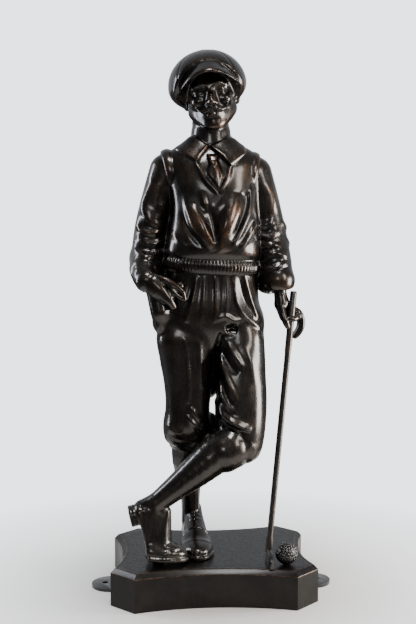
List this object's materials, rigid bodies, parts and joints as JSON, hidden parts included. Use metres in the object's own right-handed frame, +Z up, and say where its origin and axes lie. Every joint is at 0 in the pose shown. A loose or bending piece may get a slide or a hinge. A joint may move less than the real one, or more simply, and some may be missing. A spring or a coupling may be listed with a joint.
{
  "type": "golfer statue",
  "caption": "Cast bronze statue of a golfer in flat cap and plus fours, legs crossed, leaning on a club beside a ball, on a low plinth with hollow sides and bolt-down lugs.",
  "frame": {"origin": "middle of the plinth's underside, level with what it stands on", "axes": "+Z up, -Y is the way the figure faces, +X is to the right of a viewer who faces it"},
  "size_m": [0.377, 0.247, 0.8305],
  "materials": {
    "patinated_bronze": "waxed near-black patina with copper-brown rubbed edges, glossy",
    "plinth_bronze": "dark brown patina, semi-gloss, rubbed edges",
    "club_metal": "dark satin patina",
    "black_iron": "gloss black paint"
  },
  "bodies": {
    "root": {"figure": "patinated_bronze", "plinth": "plinth_bronze", "golf_club": "club_metal", "golf_ball": "patinated_bronze", "lug_left": "black_iron", "lug_right": "black_iron"}
  },
  "joints": []
}
